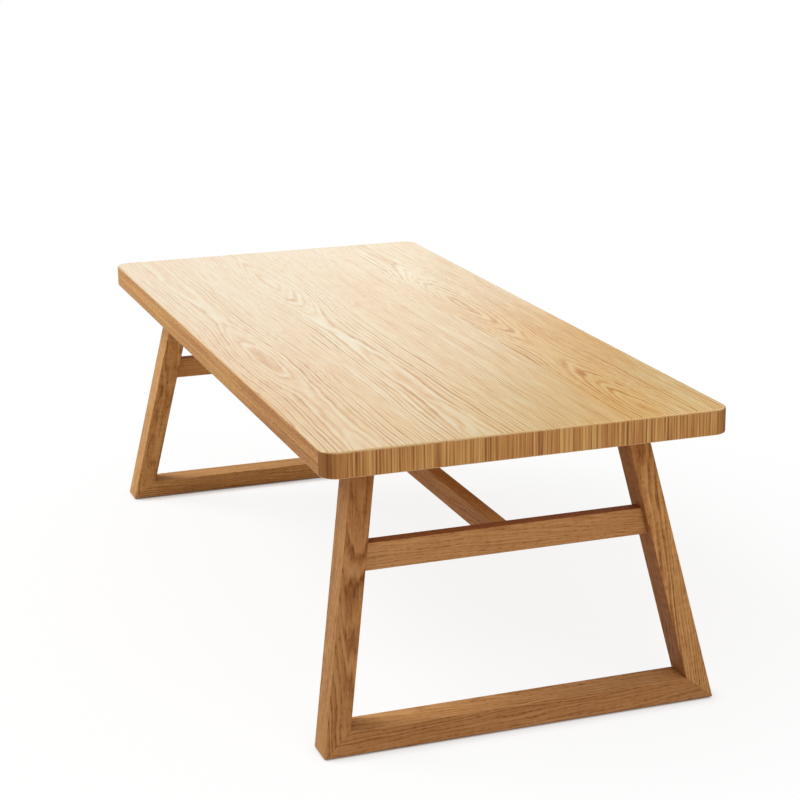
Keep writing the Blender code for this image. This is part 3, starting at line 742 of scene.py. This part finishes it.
PALE_OAK = {
    "ring_mm": 8.0, "bends_mm": {"wander": 44.0, "ripple": 12.0, "jitter": 2.0},
    "line": 0.6, "ground": -0.55, "fibre": 1.1, "fine": 0.25, "pore": 0.15,
    "tones": ("FCF0CA", "F9D9A3", "E6B872", "C28845"), "warm": "F9DA9A", "shade": "E5E5E9",
    "edge_tones": ("8A5B33", "DCB577", "AA7541", "BD884E", "C5985B"), "gloss": (0.12, 0.20), "ior": 1.5,
}
HONEY_OAK = {
    "ring_mm": 5.0, "bends_mm": {"wander": 30.0, "ripple": 14.0, "jitter": 2.6},
    "line": 0.6, "ground": -0.36, "fibre": 0.8, "fine": 0.25, "pore": 0.4,
    "tones": ("DEB27B", "CD9D66", "B3824E", "8E5D2F"), "warm": "F0DFC4", "shade": "A5755D",
    "edge_tones": ("855227", "CE975E", "A66F3D", "B17A46", "BD854F"), "gloss": (0.65, 0.75), "ior": 1.3,
}
HEAD_RAIL_LOG = {"Rotation": (0, 0, -math.pi / 2), "Location": (0.3, 0.09, -0.6)}
oak_top = lacquered_oak("lacquered_pale_oak", PALE_OAK)
oak_frame = lacquered_oak("lacquered_honey_oak", HONEY_OAK)
oak_rail = lacquered_oak("lacquered_honey_oak_rail", HONEY_OAK, HEAD_RAIL_LOG)

# %% [markdown]
# ## Hidden pieces
#
# Splines, loose tenons and pins are planed beech: pale pink-brown with short dark flecks. The bolts and
# washers are zinc-plated steel, the threaded inserts turned brass and the glides moulded nylon. They stay
# as their solids, which already have the right shape, and each gets its finish on Object coordinates.

# %% Beech, zinc, brass and nylon
def flecked(name, light, dark, scale, span, roughness, metallic=0.0):
    """A finish of two tones mixed by noise stretched along X, Y and Z, with a slightly uneven gloss."""
    made, tree = blank(name)
    spot = add(tree, "ShaderNodeTexCoord").outputs["Object"]
    stretched = add(tree, "ShaderNodeVectorMath", {0: spot, 1: scale}, operation="MULTIPLY").outputs[0]
    fleck = add(tree, "ShaderNodeTexNoise", {"Vector": stretched, "Scale": 1.0, "Detail": 3.0}).outputs["Fac"]
    mixed = add(tree, "ShaderNodeValToRGB", {"Fac": fleck}, stops=((span[0], light), (span[1], dark)))
    gloss = add(tree, "ShaderNodeMapRange", {"Value": fleck, "To Min": roughness[0], "To Max": roughness[1]})
    relief = add(tree, "ShaderNodeBump", {"Strength": 0.2, "Distance": 0.1 * MM, "Height": fleck})
    shader = add(tree, "ShaderNodeBsdfPrincipled", {
        "Base Color": mixed.outputs[0], "Roughness": gloss.outputs[0], "Metallic": metallic,
        "Normal": relief.outputs[0]})
    add(tree, "ShaderNodeOutputMaterial", {"Surface": shader.outputs[0]})
    return made


beech = flecked("planed_beech", "DDBB92", "C0946A", (60, 300, 300), (0.4, 0.7), (0.5, 0.7))
zinc = flecked("zinc_plated_steel", "C2C5C8", "9A9EA2", (900, 900, 900), (0.3, 0.7), (0.28, 0.45), 1.0)
brass = flecked("turned_brass", "CBA95C", "A88640", (200, 200, 2500), (0.3, 0.7), (0.25, 0.42), 1.0)
nylon = flecked("moulded_nylon", "54483E", "463B33", (700, 700, 700), (0.3, 0.7), (0.42, 0.56))

finishes = {"oak_top": oak_top, "oak_frame": oak_frame, "beech": beech, "zinc_steel": zinc, "brass": brass,
            "nylon": nylon}
for part in frame["record"]["subparts"]:
    node = frame["nodes"][part["node"]]
    node.data.materials.clear()
    node.data.materials.append(finishes[part["material_slot"]])
for end in "ab":
    frame["nodes"][f"head_rail_{end}"].data.materials[0] = oak_rail
print("finishes on", len(frame["nodes"]), "solids")

# %% [markdown]
# ## Put together
#
# Each new piece rides on the table's one body and stands for the solid it was drawn from, so the solid
# is hidden but keeps its place in the physics.

# %% Ride, replace and finish
for name, piece in pieces.items():
    slot = "oak_top" if name in BOARDS else "oak_frame"
    piece.name = f"{name}_dressed"
    piece.data.materials.append(finishes[slot])
    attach(piece, "root")
    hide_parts(name)
